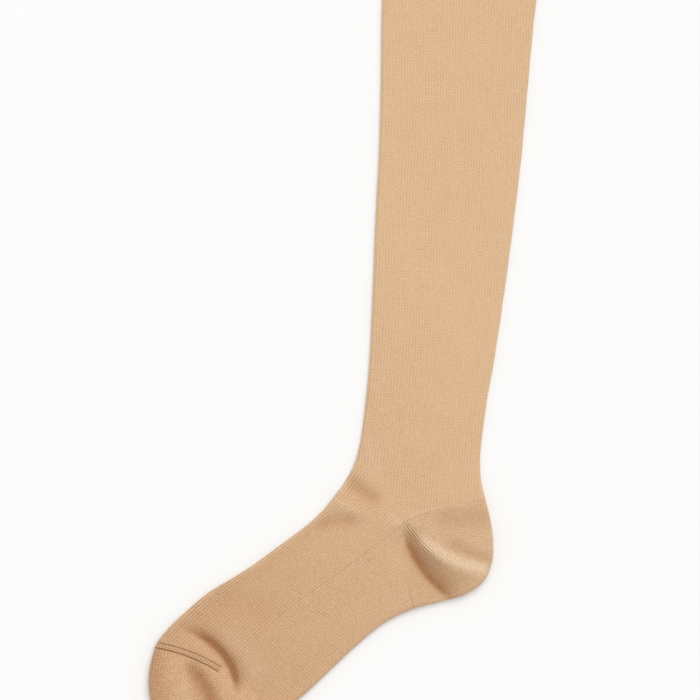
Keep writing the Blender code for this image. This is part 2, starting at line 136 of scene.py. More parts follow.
# Outline of each fanned pocket: direction in degrees and reach from the point that its rows
# turn about, radius of the fold, and how far the row sags sideways
Fan = namedtuple("Fan", "angle reach edge bow")
HEEL = [
    Fan(17.7, 51.2, 3.0, -2.4),
    Fan(5.0, 52.3, 3.1, -1.0),
    Fan(-8.8, 55.1, 3.2, 0.0),
    Fan(-20.6, 58.3, 3.2, 0.0),
    Fan(-33.2, 60.0, 3.2, 0.0),
    Fan(-46.0, 57.3, 3.2, 0.0),
    Fan(-62.0, 52.6, 3.1, 0.0),
    Fan(-80.3, 52.2, 3.0, 0.0),
]
HEEL_BEFORE = Fan(30.4, 51.9, 2.5, -3.8)        # the rows that would come before and after
HEEL_AFTER = Fan(-97.9, 61.5, 2.5, 0.0)
HEEL_CENTRE = (0.0, 0.0)
HEEL_PITCH = 1.76
SEAM_BOW = 2.0
TOE = [
    Fan(-39.3, 43.2, 3.2, 0.0),
    Fan(-56.0, 40.2, 3.4, 0.0),
    Fan(-76.0, 40.6, 3.6, 0.0),
    Fan(-98.0, 43.2, 3.6, 0.0),
    Fan(-119.0, 46.6, 3.6, 0.0),
    Fan(-136.0, 47.7, 3.6, 0.0),
    Fan(-152.0, 46.1, 3.5, 0.3),
    Fan(-169.0, 43.8, 3.4, 1.0),
    Fan(-184.0, 42.1, 3.2, 1.8),
    Fan(-193.0, 41.6, 3.0, SEAM_BOW),
    Fan(-198.3, 41.5, 3.0, SEAM_BOW),
]
TOE_BEFORE = Fan(-14.6, 51.9, 2.5, 0.0)
TOE_AFTER = Fan(-217.1, 40.1, 2.6, 0.0)
TOE_PITCH = 1.84

TOE_CENTRE = (INSTEP[-1].wale_x, INSTEP[-1].wale_y)

# Where the cloth stands up from its pressed height: centre, radius and rise
Puff = namedtuple("Puff", "name x y radius rise")
PUFFS = [
    Puff("heel", 31.0, -17.0, 25.0, 2.8),
    Puff("toe", -120.0, -102.0, 24.0, 3.0),
    Puff("ball of the foot", -78.0, -86.0, 26.0, 1.6),
    Puff("instep", -75.0, -38.0, 24.0, 0.8),
    Puff("ankle", -18.0, 10.0, 16.0, 0.8),
]

# Folds: each runs from start to end and leans towards a middle point.  left and right are how
# far it spreads on either side; a crease is a trough whose left side is a wall with a sharp foot
Fold = namedtuple("Fold", "name start middle end height left right crease")
FOLDS = [
    Fold("heel crease", (0.2, 0.0), (5.1, -29.7), (38.0, -48.0), -3.5, 5.5, 12.0, True),
    Fold("heel ridge", (5.0, -7.0), (25.0, -27.5), (54.0, -29.0), 2.8, 6.0, 6.5, False),
    Fold("heel hollow", (23.0, -8.0), (40.0, -19.5), (60.0, -23.0), -1.3, 5.0, 5.0, False),
    Fold("ankle crease", (-44.0, 33.0), (-28.0, 17.0), (-11.0, 9.5), -1.8, 5.5, 5.0, False),
    Fold("ankle bulge", (-47.0, 12.0), (-31.0, 5.5), (-18.0, 0.0), 1.3, 5.0, 5.0, False),
    Fold("lower ankle crease", (-55.0, -6.0), (-42.0, -0.5), (-25.0, 0.0), -1.2, 4.5, 4.5, False),
    Fold("foot hollow", (-118.0, -50.0), (-95.0, -52.0), (-68.0, -60.0), -0.5, 9.0, 10.0, False),
    Fold("toe crease", (-133.0, -67.3), (-96.2, -80.5), (-94.0, -110.0), -3.4, 4.6, 4.2, True),
    Fold("toe dimple", (-130.0, -90.0), (-110.5, -98.0), (-106.0, -124.0), -2.7, 5.0, 6.0, False),
]
FOLD_SAMPLES = 24
FOLD_FADE = 0.25          # share of a fold's length in which it rises at either end
CREASE_ROUND = 1.2        # radius of a crease's foot
CREASE_SHADE = 1.6        # how far the painted shade of a crease spreads past its foot
FULL_SHADE_DEPTH = 4.2          # a trough this deep gets the most painted shade
DARK_SPREAD = 0.8         # share of the trough's left side that its painted shade spreads over

# Painted highlights where the strength is above 0 and painted shade where it is below, among them the
# lighter stitches at the heel's top and the darker gore stitches: a band along a curve, how strong it is
# and how far it spreads on either side
Shade = namedtuple("Shade", "name start middle end pale left right")
SHADES = [
    Shade("heel shine", (5.0, -3.5), (30.0, -25.5), (60.0, -25.5), 1.15, 3.0, 4.0),
    Shade("heel start", (-1.0, 1.5), (12.0, 10.8), (53.0, 14.2), 0.4, 0.75, 0.75),
    Shade("upper heel", (14.0, 4.0), (40.0, 4.0), (62.0, 6.0), -0.28, 8.0, 7.0),
    Shade("inner heel", (2.0, -6.0), (17.0, -31.0), (44.0, -43.0), -0.3, 4.5, 5.0),
    Shade("below the heel crease", (0.0, -26.0), (10.0, -38.0), (26.0, -50.0), -0.1, 6.0, 7.0),
    Shade("gore", (4.0, -3.0), (13.5, -19.0), (32.0, -28.0), -0.3, 1.8, 2.2),
    Shade("heel crease core", (0.0, -6.0), (4.5, -31.0), (37.0, -48.0), -0.22, 2.4, 2.4),
    Shade("toe crease core", (-120.0, -72.5), (-97.0, -80.2), (-94.6, -108.0), -0.6, 2.8, 2.0),
    Shade("toe crease bank", (-112.0, -66.0), (-86.0, -79.0), (-82.0, -107.0), 0.33, 7.0, 5.0),
    Shade("toe dimple core", (-122.0, -96.0), (-112.0, -100.0), (-109.0, -120.0), -0.15, 4.0, 4.0),
    Shade("toe shine", (-127.0, -90.0), (-127.0, -101.0), (-125.0, -116.0), 0.4, 3.5, 3.5),
    Shade("toe edge", (-146.0, -76.0), (-147.0, -100.0), (-138.0, -128.0), -0.42, 7.0, 5.0),
    Shade("ankle shine", (-50.0, 6.0), (-40.0, 11.0), (-24.0, 6.0), 0.3, 3.5, 3.5),
    Shade("shine over the ankle", (-28.0, 55.0), (-25.0, 40.0), (-12.0, 26.0), 0.28, 6.0, 6.0),
    Shade("gore shine", (-11.0, 3.5), (-4.0, 0.5), (4.0, -3.5), 0.4, 2.5, 2.5),
]

# The ribs of the instep start at a bend over the ankle, from the front fold to the gore point,
# and run below it as the leg's ribs don't: their pitch along the heel's row, and how much they
# drift back for each millimetre that they lie above it
BEND = ((-30.0, 32.0), (-10.0, 30.0), (0.0, 2.0))
BEND_BLEND = 4.0
BEND_DRIFT = 0.20
BEND_TANGENT = (8.1, 19.5)      # where the gore wale would come from if it ran as the instep's do
BEND_OVER = (0.5, 1.4)    # radians over the fold between which the leg's own ribs come back

# The groove of the gore wale, where the instep and the sole meet
WALE_DARK = 0.15
WALE_HALF = 0.22          # in wales
WALE_GONE = (-90.0, -60.0)      # where it has gone and where it is whole
# and the end of the heel pocket, which shows near the fold only
HEEL_END_DARK = 0.40
HEEL_END_HALF = 0.50
HEEL_END_FROM = (0.62, 0.80)

# By the instep's front fold the ribs' grooves get more painted shade, and its rim gets a painted
# highlight
FRONT_GROOVE_GAIN = 1.6
FRONT_GROOVE_SPREAD = 8.0
RIM_HIGHLIGHT = 0.55
RIM_SPREAD = 2.6

# The tone deepens from the calf to the toes: where it starts, its way, its length and how late
TONE_START = 100.0
TONE_WAY = (-0.76, -0.65)
TONE_LENGTH = 255.0
TONE_CURVE = 1.1

# Stitches of the heel's gore, in lines beside a curve from the gore point to the heel's tip
GORE_LINE = ((1.6, 2.0), (13.6, -18.3), (49.0, -34.0))
GORE_PITCH = 1.56
GORE_LENGTH = 60.0
GORE_ASIDE = 1.2          # how far to the right of the curve the lines are clearest
GORE_SPREAD = 2.4
GORE_LOWER = (0.45, 0.70)       # share of the curve from which they move aside and spread out
GORE_LOWER_ASIDE = 2.0
GORE_LOWER_SPREAD = 3.0
GORE_WEAK = 0.65          # how much they weaken, from where to where, and where they end
GORE_WEAK_FROM = (0.35, 0.65)
GORE_END = (0.85, 1.0)

# The toe's linking seam: a flat ridge between two furrows
SEAM_HALF = 1.55
SEAM_FURROW = 0.46
SEAM_RISE = 0.14
SEAM_DEPTH = 0.16
SEAM_DARK = (0.62, 0.88)  # how dark the painted shade in the furrow on the instep's side is, and on the toe's
SEAM_END = 0.02           # share of the seam by the gore wale where the furrows stop short
SEAM_CREST = 0.4          # share of its half width that is level
SEAM_NO_RIBS = (0.6, 1.3)       # and those between which the ribs come back beside it

# ---------------------------------------------------------------- half rows

def smooth(table, steps, before=None, after=None):
    """The table's rows with more rows worked out between them on a smooth curve.

    steps is how many rows each stretch gets, or that and a power that crowds them towards its
    end; before and after are the rows past the ends.
    """
    rows = np.array(table, float)
    first = rows[0] if before is None else np.array(before, float)
    last = rows[-1] if after is None else np.array(after, float)
    padded = np.vstack([first, rows, last])
    result = []
    for i, step in enumerate(steps):
        count, power = step if isinstance(step, tuple) else (step, 1.0)
        a, b, c, d = padded[i:i + 4]
        t = 1.0 - (1.0 - np.arange(count)[:, None] / count) ** power
        result.append(0.5 * (
            2 * b + (c - a) * t + (2 * a - 5 * b + 4 * c - d) * t ** 2
            + (3 * b - a - 3 * c + d) * t ** 3
        ))
    result.append(rows[-1:])
    return np.vstack(result)


def curve(start, middle, end, count):
    """Points on a curve that leans towards its middle point."""
    t = np.linspace(0.0, 1.0, count + 1)[:, None]
    start, middle, end = (np.array(point) for point in (start, middle, end))
    return start * (1 - t) ** 2 + 2 * middle * t * (1 - t) + end * t ** 2


def beside(line, x, y):
    """How far places lie from a line, to its left or right, and how far along it they are."""
    nearest = np.full(x.shape, np.inf)
    place = np.zeros(x.shape)
    for i, (a, b) in enumerate(zip(line, line[1:])):
        run = b - a
        t = ((x - a[0]) * run[0] + (y - a[1]) * run[1]) / (run @ run)
        t = np.clip(t, 0.0, 1.0)
        away_x = x - a[0] - run[0] * t
        away_y = y - a[1] - run[1] * t
        side = np.sign(run[0] * away_y - run[1] * away_x)
        distance = np.hypot(away_x, away_y)
        closer = distance < np.abs(nearest)
        nearest = np.where(closer, side * distance, nearest)
        place = np.where(closer, (i + t) / (len(line) - 1), place)
    return nearest, place


def fold_shape(fold, x, y, left, right, crease=False):
    """Share of a fold's height over places on the pattern plane."""
    away, place = beside(curve(fold.start, fold.middle, fold.end, FOLD_SAMPLES), x, y)
    fade = step_up(place, 0.0, FOLD_FADE) * (1.0 - step_up(place, 1.0 - FOLD_FADE, 1.0))
    if crease:
        wall = np.exp((CREASE_ROUND - np.hypot(away, CREASE_ROUND)) / left)
    else:
        wall = np.exp(-((away / left) ** 2))
    rest = np.exp(-((away / right) ** 2))
    return fade * np.where(away > 0.0, wall, rest)


def fold_height(fold, x, y):
    """How far a fold lifts or presses the cloth."""
    return fold.height * fold_shape(fold, x, y, fold.left, fold.right, fold.crease)


def top_height(x, y, flat):
    """Height of the upper cloth over places on the pattern plane."""
    height = flat
    for puff in PUFFS:
        away = np.hypot(x - puff.x, y - puff.y) / puff.radius
        height = height + puff.rise * np.exp(-away * away)
    for fold in FOLDS:
        height = height + fold_height(fold, x, y)
    return np.maximum(height, THINNEST)


def shade_share(x, y):
    """How much painted shade the folds' troughs and the dark shades put on the knit, from 0 to 1."""
    depth = 0.0
    for fold in FOLDS:
        if fold.height < 0.0:
            right = CREASE_SHADE if fold.crease else fold.right
            share = fold_shape(fold, x, y, fold.left * DARK_SPREAD, right, fold.crease)
            depth = depth - fold.height / FULL_SHADE_DEPTH * share
    for shade in SHADES:
        if shade.pale < 0.0:
            depth = depth - shade.pale * fold_shape(shade, x, y, shade.left, shade.right)
    return np.clip(depth, 0.0, 1.0)


def highlight_share(x, y):
    """How much painted highlight the light shades put on the knit, from 0 to 1."""
    pale = 0.0
    for shade in SHADES:
        if shade.pale > 0.0:
            pale = pale + shade.pale * fold_shape(shade, x, y, shade.left, shade.right)
    return np.clip(pale, 0.0, 1.0)


def by_front(x, y, spread):
    """Share that falls away with the distance from the instep's front fold."""
    line = [np.array(row[2:4]) for row in ANKLE[2:] + INSTEP]
    away, _ = beside(line, x, y)
    return np.exp(-((away / spread) ** 2))


def down_foot(x, y):
    """Share of the way from the calf to the toes, along the foot."""
    along = TONE_START + TONE_WAY[0] * x + TONE_WAY[1] * y
    return np.clip(along / TONE_LENGTH, 0.0, 1.0) ** TONE_CURVE


HalfRows = namedtuple("HalfRows", "wale fold edge pitch bow")


def half_rows(rows, pitch, bow=0.0):
    """Half rows from an array whose columns are the wale's place, the fold's place and edge."""
    bows = np.broadcast_to(np.reshape(bow, (-1, 1)), (len(rows), 1))
    pitches = np.broadcast_to(np.reshape(pitch, (-1, 1)), (len(rows), 1))
    return HalfRows(rows[:, 0:2], rows[:, 2:4], rows[:, 4:5], pitches, bows)


def lay(rows, wales, flat, depth=0.0):
    """Where the given wales lie on every half row, how far each has turned over the fold, and
    where it would lie with the fold laid open.

    On top the wales keep the row's pitch, so some run off over the fold; below they share
    out what is left of the row.
    """
    way = rows.fold - rows.wale
    span = np.linalg.norm(way, axis=1, keepdims=True)
    way = way / span
    level = span - rows.edge
    crown = level + rows.edge * math.pi / 2.0
    whole = 2.0 * level + rows.edge * math.pi
    crown_wale = crown / rows.pitch
    left = (wales - crown_wale) / (wales[-1] - crown_wale)
    along = np.where(wales < crown_wale, wales * rows.pitch, crown + (whole - crown) * left)
    turn = np.clip((along - level) / rows.edge, 0.0, math.pi)
    below = np.maximum(along - level - math.pi * rows.edge, 0.0)
    out = np.minimum(along, level) - below + (rows.edge - depth) * np.sin(turn)
    extra = rows.edge * np.minimum(turn, math.pi - turn) - (rows.edge - depth) * np.sin(turn)
    share = out / span
    sag = rows.bow * 4.0 * share * (1.0 - share)
    x = rows.wale[:, 0:1] + way[:, 0:1] * out + way[:, 1:2] * sag
    y = rows.wale[:, 1:2] + way[:, 1:2] * out - way[:, 0:1] * sag
    upper = top_height(x, y, flat + (2.0 * rows.edge - flat) * share ** 2)
    lift = np.where(turn < math.pi / 2.0, upper - rows.edge, rows.edge)
    z = rows.edge + np.cos(turn) * (lift - depth)
    opened = x + way[:, 0:1] * extra, y + way[:, 1:2] * extra
    return np.stack([x, y, z], axis=-1), turn, opened


def columns(last, fine_until, fine, coarse, start=0.0):
    """Wale numbers of the mesh columns, so many to a wale: fine where they show, then coarse."""
    top = np.arange(round((fine_until - start) * fine)) / fine + start
    under = np.arange(round((last - fine_until) * coarse) + 1) / coarse + fine_until
    return np.concatenate([top, under])


def outward(points):
    """Unit normals of a loft, upwards on top; straight up where its rows meet in a point."""
    across = np.gradient(points, axis=1)
    down = np.gradient(points, axis=0)
    normal = np.cross(down, across)
    length = np.linalg.norm(normal, axis=-1, keepdims=True)
    up = np.zeros_like(normal)
    up[..., 2] = 1.0
    flipped = np.where(normal[:, :1, 2:3].mean() < 0.0, -1.0, 1.0)
    return np.where(length > TINY, flipped * normal / np.maximum(length, TINY), up)


def raise_knit(points, turn, relief):
    """Move a loft's points out by the relief of its knit; below, the crests stay level."""
    under = np.clip((turn - math.pi / 2.0) / (math.pi / 2.0), 0.0, 1.0)
    under = under * under * (3.0 - 2.0 * under)
    low = UNDER_RELIEF / RIB_RELIEF
    rise = relief * (1.0 - under) + (relief * low - UNDER_RELIEF) * under
    raised = points + outward(points) * rise[..., None]
    raised[..., 2] = np.maximum(raised[..., 2], CLEAR)
    return raised


def step_up(value, low, high):
    """From 0 below low to 1 above high, softly."""
    share = np.clip((value - low) / (high - low), 0.0, 1.0)
    return share * share * (3.0 - 2.0 * share)


def seam_curve():
    """The toe's linking seam on the pattern plane, from the gore wale to the front fold."""
    end = INSTEP[-1]
    start = np.array([end.wale_x, end.wale_y])
    way = np.array([end.fold_x, end.fold_y]) - start
    share = np.linspace(0.0, 1.0, FOLD_SAMPLES)[:, None]
    side = np.array([way[1], -way[0]]) / np.linalg.norm(way)
    return start + way * share + side * SEAM_BOW * 4.0 * share * (1.0 - share)


def furrow(away, side):
    """Share of a furrow's depth beside the linking seam, to its left (1) or right (-1)."""
    return np.exp(-(((away - side * SEAM_HALF) / SEAM_FURROW) ** 2))


def seam_relief(x, y):
    """Relief of the linking seam, and how much of the ribs it leaves."""
    away, place = beside(seam_curve(), x, y)
    along = step_up(place, 0.0, SEAM_END)
    ridge = SEAM_RISE * (1.0 - step_up(np.abs(away), SEAM_HALF * SEAM_CREST, SEAM_HALF))
    sunk = SEAM_DEPTH * (furrow(away, 1.0) + furrow(away, -1.0))
    return (ridge - sunk) * along, step_up(np.abs(away) / SEAM_HALF, *SEAM_NO_RIBS)


def seam_shade(x, y):
    """How much painted shade darkens the linking seam's furrows."""
    away, place = beside(seam_curve(), x, y)
    dark = SEAM_DARK[0] * furrow(away, -1.0) + SEAM_DARK[1] * furrow(away, 1.0)
    return dark * step_up(place, 0.0, SEAM_END)


# ---------------------------------------------------------------- meshes

class Cloth:
    """A knitted piece: grids of points joined where they meet.

    Each point has its wale and course in the knit, the same in a second run of stitches that
    crosses the first, and named fields that the finish reads.
    """

    def __init__(self, name):
        self.name = name
        self.points = []
        self.faces = []
        self.knit = []
        self.cross = []
        self.fields = {"swap": [], "painted_shade": [], "pale": [], "foot": [], "seam": [], "near_front_fold": []}
        self.count = 0
        self.area = 0.0
        self.length = 0.0
        self.width = 0.0

    def add(self, points, shape, turn, knit, cross=None, swap=0.0, dark=0.0):
        """Add a grid of rows and columns: its raised points, and its shape before the relief."""
        rows, across = points.shape[:2]
        ids = self.count + np.arange(rows * across).reshape(rows, across)
        corners = [ids[:-1, :-1], ids[:-1, 1:], ids[1:, 1:], ids[1:, :-1]]
        self.faces.append(np.stack(corners, axis=-1).reshape(-1, 4))
        self.points.append(points.reshape(-1, 3))
        self.knit.append(flat_pairs(turn.shape, *knit))
        self.cross.append(flat_pairs(turn.shape, *(cross or knit)))
        x, y = shape[..., 0], shape[..., 1]
        # fields of painted shade and painted highlights (left off the underside), the seam furrows'
        # painted shade with dark lines, and where the grooves get more painted shade
        fields = {
            "swap": np.broadcast_to(swap, turn.shape),
            "painted_shade": shade_share(x, y) * (turn < TOP_UNTIL),
            "pale": highlight_share(x, y) * (turn < TOP_UNTIL) + by_front(x, y, RIM_SPREAD) * RIM_HIGHLIGHT,
            "foot": down_foot(x, y),
            "seam": seam_shade(x, y) + dark,
            "near_front_fold": by_front(x, y, FRONT_GROOVE_SPREAD),
        }
        for name, values in fields.items():
            self.fields[name].append(values.reshape(-1))
        self.count += rows * across
        self.measure(shape)

    def measure(self, shape):
        """Add a grid to the flat size of the cut."""
        across = np.diff(shape, axis=1)[:-1]
        along = np.diff(shape, axis=0)[:, :-1]
        self.area += np.linalg.norm(np.cross(across, along), axis=-1).sum()
        self.width += np.linalg.norm(across, axis=-1).sum(axis=1).max()
        self.length = max(self.length, np.linalg.norm(along, axis=-1).sum(axis=0).max())

    def build(self, finish, node):
        points = (np.concatenate(self.points) + HOME) * MM
        faces = np.concatenate(self.faces)
        mesh = bpy.data.meshes.new(self.name)
        mesh.from_pydata(points, [], faces.tolist())
        for name, pairs in (("knit", self.knit), ("cross", self.cross)):
            layer = mesh.uv_layers.new(name=name)
            corners = np.concatenate(pairs)[faces.ravel()]
            layer.uv.foreach_set("vector", corners.astype(np.float32).ravel())
        for name, values in self.fields.items():
            field = mesh.attributes.new(name, "FLOAT", "POINT")
            field.data.foreach_set("value", np.concatenate(values).astype(np.float32))
        work = bmesh.new()
        work.from_mesh(mesh)
        bmesh.ops.remove_doubles(work, verts=work.verts, dist=MERGE * MM)
        bmesh.ops.recalc_face_normals(work, faces=work.faces)
        work.to_mesh(mesh)
        work.free()
        mesh.shade_smooth()
        mesh.materials.append(finish)
        piece = bpy.data.objects.new(self.name, mesh)
        bpy.context.scene.collection.objects.link(piece)
        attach(piece, "root")
        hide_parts(node)
        flat = (self.width * MM, self.length * MM)
        self.area * MM * MM


def flat_pairs(shape, wales, courses):
    """Pairs of a wale and a course for every point of a grid."""
    pairs = np.stack(np.broadcast_arrays(wales, courses, np.zeros(shape)), axis=-1)
    return pairs[..., :2].reshape(-1, 2)


band_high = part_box("top_band")[1]
HOME = np.array([
    band_high.x / MM - (LEG[0].back + BAND_PROUD_BACK),
    band_high.y / MM - (LEG_TOP + BAND_DEPTH),
    0.0,
])


def course_numbers(points):
    """Number of the course that each row of a loft is, from its mean distance on top."""
    middle = points[:, : points.shape[1] // 2]
    steps = np.linalg.norm(np.diff(middle, axis=0), axis=-1).mean(axis=1)
    return np.concatenate([[0.0], np.cumsum(steps)]) / COURSE


def ribs(wales):
    """Relief of a rib: round on its crest, with a narrow groove on each side."""
    return np.abs(np.sin(math.pi * wales)) ** RIB_ROUND


# ---------------------------------------------------------------- finishes

class Value:
    """A number in a finish: arithmetic on it adds Math nodes."""

    def __init__(self, finish, socket):
        self.finish = finish
        self.socket = socket

    def __add__(self, other):
        return self.finish.maths("ADD", self, other)

    __radd__ = __add__

    def __sub__(self, other):
        return self.finish.maths("SUBTRACT", self, other)

    def __rsub__(self, other):
        return self.finish.maths("SUBTRACT", other, self)

    def __mul__(self, other):
        return self.finish.maths("MULTIPLY", self, other)

    __rmul__ = __mul__

    def __truediv__(self, other):
        return self.finish.maths("DIVIDE", self, other)

    def __pow__(self, other):
        return self.finish.maths("POWER", self, other)


class Finish:
    """A material that is put together from nodes."""

    def __init__(self, name):
        self.material = bpy.data.materials.new(name)
        self.material.use_nodes = True
        self.tree = self.material.node_tree
        self.tree.nodes.clear()

    def node(self, kind, settings=None, inputs=None, output=0):
        """Add a node, set it up, fill its sockets and give back one of its outputs."""
        node = self.tree.nodes.new(kind)
        for name, value in (settings or {}).items():
            setattr(node, name, value)
        for name, value in (inputs or {}).items():
            if isinstance(value, Value):
                self.tree.links.new(value.socket, node.inputs[name])
            else:
                node.inputs[name].default_value = value
        return Value(self, node.outputs[output]) if len(node.outputs) else None

    def maths(self, operation, *values):
        """A Math node on values and numbers."""
        return self.node("ShaderNodeMath", {"operation": operation}, dict(enumerate(values)))

    def mix(self, share, first, second):
        """A colour a share of the way from first to second."""
        inputs = {0: share, 6: first, 7: second}
        return self.node("ShaderNodeMix", {"data_type": "RGBA"}, inputs, output=2)

    def surface(self, inputs):
        """Finish with a Principled surface."""
        shader = self.node("ShaderNodeBsdfPrincipled", None, inputs)
        self.node("ShaderNodeOutputMaterial", None, {"Surface": shader})
        return self.material


LOOP_LEAN = 0.65          # in courses: how far a loop's edges lie below its middle
GROOVE_SHARP = 2.5
TURN_COURSES = 7.0        # how many courses the loops go on turning one way and the other
# Clouds in the knit: how fine they are and how strong
UNEVEN_WIDE = (70.0, 1.4)
UNEVEN_FINE = (650.0, 1.6)
FLUFF_SCALE = 1300.0
TONE_CLOUD = (45.0, 0.02)
CROSS_BASE = 0.15         # the crossing stitches' own grey, so that they don't darken the knit
# Relief in the bump: of a loop, of the fluff (how fine and how strong) and of an odd loop, and
# its height in metres
BUMP_LOOP = 0.25
BUMP_FLUFF = (2600.0, 0.2)
BUMP_ODD = 0.2
BUMP_HEIGHT = 0.00012


def knit_finish(knit):
    """Knitted cloth: stitches in their wales and courses, with painted shade in the grooves and creases.

    Its tone is how light it is beside the leg.  Its wale and cross say how much painted shade
    darkens the grooves, and how high the ridges stand in the bump, for the first and the second
    run of stitches.  Speckle and fluff are how much single loops and the yarn's fibres vary, and
    the two gains how much the grooves' painted shade and the speckle grow towards the toes.
    """
    finish = Finish(knit.name)

    def field(attribute):
        return finish.node("ShaderNodeAttribute", {"attribute_name": attribute}, None, output=2)

    def stitches(uv_map):
        """The groove between wales, from 0 to 1, the rise of the loops and their speckle."""
        place = finish.node("ShaderNodeUVMap", {"uv_map": uv_map})
        number = finish.node("ShaderNodeSeparateXYZ", None, {0: place}, output=0)
        course = finish.node("ShaderNodeSeparateXYZ", None, {0: place}, output=1)
        half = finish.maths("ABSOLUTE", finish.maths("FRACT", number) - 0.5) * 2.0
        loop = finish.maths("SINE", (course + half * LOOP_LEAN) * (2.0 * math.pi)) * 0.5 + 0.5
        column = finish.maths("FLOOR", number * 2.0)
        row = finish.maths("FLOOR", course + half * 0.5)
        cell = finish.node("ShaderNodeCombineXYZ", None, {0: column, 1: row})
        odd = finish.node("ShaderNodeTexWhiteNoise", {"noise_dimensions": "2D"}, {"Vector": cell})
        turn = finish.maths("FLOOR", row / TURN_COURSES)
        stretch = finish.node("ShaderNodeCombineXYZ", None, {0: column + 0.5, 1: turn})
        start = finish.node(
            "ShaderNodeTexWhiteNoise", {"noise_dimensions": "2D"}, {"Vector": stretch}
        )
        start = finish.maths("ROUND", start)
        turned = finish.maths("FLOORED_MODULO", start + row, 2.0) * 2.0 - 1.0
        return half ** GROOVE_SHARP, loop, odd * turned

    groove, loop, odd = stitches("knit")
    other, _, _ = stitches("cross")
    swap = field("swap")
    spot = finish.node("ShaderNodeTexCoord", None, None, output=3)

    def cloud(scale, strength):
        inputs = {"Vector": spot, "Scale": scale, "Detail": 2.0}
        return (finish.node("ShaderNodeTexNoise", None, inputs) - 0.5) * strength

    def times(colour, share):
        inputs = {0: colour, 1: share}
        return finish.node("ShaderNodeVectorMath", {"operation": "MULTIPLY"}, inputs)

    uneven = cloud(*UNEVEN_WIDE) + cloud(*UNEVEN_FINE) + 1.0
    ribbed = field("foot") * knit.foot_gain + field("near_front_fold") * FRONT_GROOVE_GAIN + 1.0
    grain = odd * knit.speckle * (field("foot") * knit.grain_gain + 1.0)
    # painted shade in the grooves between wales, stronger towards the toes and by the instep's front fold
    first = groove * (1.0 - swap) * uneven * knit.wale[0]
    second = (other - CROSS_BASE) * swap * knit.cross[0]
    light = 1.0 - (first + second) * ribbed + grain
    light = light + cloud(FLUFF_SCALE, knit.fluff) + cloud(*TONE_CLOUD)
    near = finish.mix(field("foot"), (*CALF_TONE, 1.0), (*TOE_TONE, 1.0))
    # painted shade in the folds and creases darkens and deepens the tone
    shaded = finish.mix(field("painted_shade"), near, times(near, SHADE_SHARE))
    # painted highlights lighten and whiten the tone
    colour = finish.mix(field("pale"), shaded, times(near, HIGHLIGHT_SHARE))
    # painted shade in the linking seam's furrows, with the dark lines of the gore wale and the heel's end
    colour = finish.mix(field("seam"), colour, times(colour, FURROW_SHARE))
    tint = finish.node("ShaderNodeCombineXYZ", None, {
        0: light * knit.tone, 1: light ** DEEPER[0] * knit.tone, 2: light ** DEEPER[1] * knit.tone,
    })
    ridges = (1.0 - groove) * (1.0 - swap) * knit.wale[1] + (1.0 - other) * swap * knit.cross[1]
    height = loop * BUMP_LOOP + cloud(*BUMP_FLUFF) + odd * BUMP_ODD + ridges
    bump = finish.node(
        "ShaderNodeBump", None, {"Strength": 0.6, "Distance": BUMP_HEIGHT, "Height": height}
    )
    return finish.surface({
        "Base Color": times(colour, tint),
        "Roughness": 0.86,
        "Specular IOR Level": 0.25,
        "Sheen Weight": 0.35,
        "Sheen Roughness": 0.5,
        "Normal": bump,
    })


# Tones of the knit at both ends of the stocking, and what the painted shade of folds, the painted
# highlights and the painted shade of the seam's furrows keep of them in red, green and blue
CALF_TONE = (0.705, 0.471, 0.280)
TOE_TONE = (0.600, 0.367, 0.203)
SHADE_SHARE = (0.61, 0.45, 0.32)
HIGHLIGHT_SHARE = (1.10, 1.22, 1.36)
FURROW_SHARE = (0.30, 0.16, 0.06)
DEEPER = (1.35, 1.73)     # how much faster green and blue darken than red in the painted shade of the grooves

Knit = namedtuple("Knit", "name tone wale cross speckle fluff foot_gain grain_gain")
KNITS = [
    Knit("rib_knit", 1.0, (0.09, 0.0), (0.09, 0.0), 0.07, 0.15, 1.0, 0.6),
    Knit("heel_knit", 0.94, (0.04, 0.5), (0.75, 5.0), 0.09, 0.4, 0.0, 0.0),
    Knit("sole_knit", 0.99, (0.12, 2.0), (0.0, 0.0), 0.09, 0.35, 0.0, 0.0),
    Knit("toe_knit", 1.03, (0.10, 2.0), (0.10, 2.0), 0.13, 0.4, 0.0, 0.0),
    Knit("band_knit", 1.0, (0.03, 0.4), (0.0, 0.0), 0.09, 0.2, 0.0, 0.0),
]
finishes = {knit.name: knit_finish(knit) for knit in KNITS}


# ---------------------------------------------------------------- the leg and instep

# Rows of the mesh between those of the tables, or how many and how they crowd
LEG_STEPS = [5, 8, 8, 8, 8, 8, 6]
ANKLE_STEPS = [12, 18, 26, 22]
INSTEP_STEPS = [26, 14, 7, 7, 7, 7, 12, (26, 1.7)]
TOE_SIDE_ROW = (3.2, 1.9)       # edge and pitch of the row that the instep would run on to


def leg_sections():
    """Sections of the whole leg as rows: wale, front fold, back fold, their edges, pitches."""
    sections = []
    for row in LEG:
        wale_x = row.front + WALE_FROM_FRONT
        place = (wale_x, row.height, row.front, row.height, row.back, row.height)
        sections.append(place + (LEG_EDGE, LEG_EDGE, FRONT_PITCH, row.pitch, 0.0))
    return sections + [tuple(row) for row in ANKLE]


def instep_ribs(x, y):
    """Numbers of the instep's ribs over the ankle, above the heel's row, and their share."""
    start = ANKLE[-1]
    way = np.array([start.front_x, start.front_y])
    way = way / np.linalg.norm(way)
    out = x * way[0] + y * way[1]
    above = x * way[1] - y * way[0]
    number = (out + above * BEND_DRIFT) / start.front_pitch
    away, _ = beside(curve(*BEND, FOLD_SAMPLES), x, y)
    share = 1.0 - step_up(away, -BEND_BLEND, BEND_BLEND)
    return number, share * (above > 0.0)


